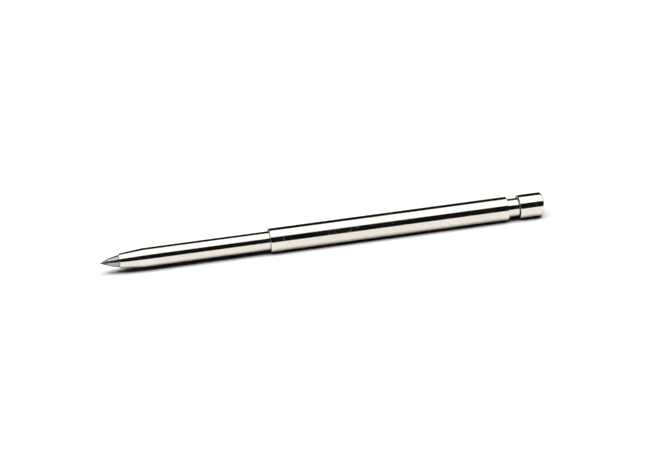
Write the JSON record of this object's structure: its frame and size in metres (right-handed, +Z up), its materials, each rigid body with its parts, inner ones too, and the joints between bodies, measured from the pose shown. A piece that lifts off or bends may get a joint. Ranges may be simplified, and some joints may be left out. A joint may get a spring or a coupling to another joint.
{
  "type": "pocket scriber",
  "caption": "Slim plated pocket scriber with a carbide-tipped steel point held in a collet nose, a stepped round body and a push-button end cap.",
  "frame": {"origin": "middle of the tool's length, on the surface it lies on, straight below its axis", "axes": "+X along the tool from the point to the end cap, +Y to the side away from the viewer, +Z up"},
  "size_m": [0.15, 0.0082, 0.0082],
  "materials": {
    "bright_nickel": "bright nickel plate, polished, with faint turning lines",
    "hardened_steel": "turned and ground, bare",
    "ground_carbide": "fine ground tungsten carbide, dark grey",
    "spring_steel": "drawn wire, lightly oiled",
    "turned_brass": "turned, bare"
  },
  "bodies": {
    "housing": {"barrel": "bright_nickel", "front_tube": "bright_nickel", "centre_bush": "turned_brass", "spring_seat_washer": "hardened_steel", "return_spring": "spring_steel"},
    "thrust_ring": {"thrust_washer": "hardened_steel"},
    "plunger": {"collet_stem": "hardened_steel", "chuck_tube": "turned_brass", "spring_collar": "turned_brass", "plunger_stem": "bright_nickel", "end_cap": "bright_nickel"},
    "finger_1": {"collet_jaw_1": "hardened_steel"},
    "finger_2": {"collet_jaw_2": "hardened_steel"},
    "finger_3": {"collet_jaw_3": "hardened_steel"},
    "point": {"scribing_tip": "ground_carbide", "point_shank": "hardened_steel"}
  },
  "joints": [
    {"name": "push_travel", "type": "slide", "parent": "housing", "child": "thrust_ring", "axis": [-1, 0, 0], "range_m": [0, 0.0035], "stiffness_N_per_m": 720, "springref_m": -0.005, "deforming": ["return_spring"]},
    {"name": "plunger_spin", "type": "hinge", "parent": "thrust_ring", "child": "plunger", "pos_m": [0, 0, 0.00408], "axis": [1, 0, 0], "continuous": true},
    {"name": "finger_1_flex", "type": "hinge", "parent": "plunger", "child": "finger_1", "pos_m": [-0.0556, 0, 0.00523], "axis": [0, 1, 0], "range_deg": [0, 2.3]},
    {"name": "finger_2_flex", "type": "hinge", "parent": "plunger", "child": "finger_2", "pos_m": [-0.0556, -0.001, 0.00351], "axis": [0, -0.5, 0.866], "range_deg": [0, 2.3]},
    {"name": "finger_3_flex", "type": "hinge", "parent": "plunger", "child": "finger_3", "pos_m": [-0.0556, 0.001, 0.00351], "axis": [0, -0.5, -0.866], "range_deg": [0, 2.3]},
    {"name": "point_slide", "type": "slide", "parent": "plunger", "child": "point", "axis": [-1, 0, 0], "range_m": [-0.008, 0.012]}
  ],
  "couplings": [
    {"joint": "finger_1_flex", "follows": "push_travel", "rad_per_m": 11},
    {"joint": "finger_2_flex", "follows": "push_travel", "rad_per_m": 11},
    {"joint": "finger_3_flex", "follows": "push_travel", "rad_per_m": 11}
  ]
}
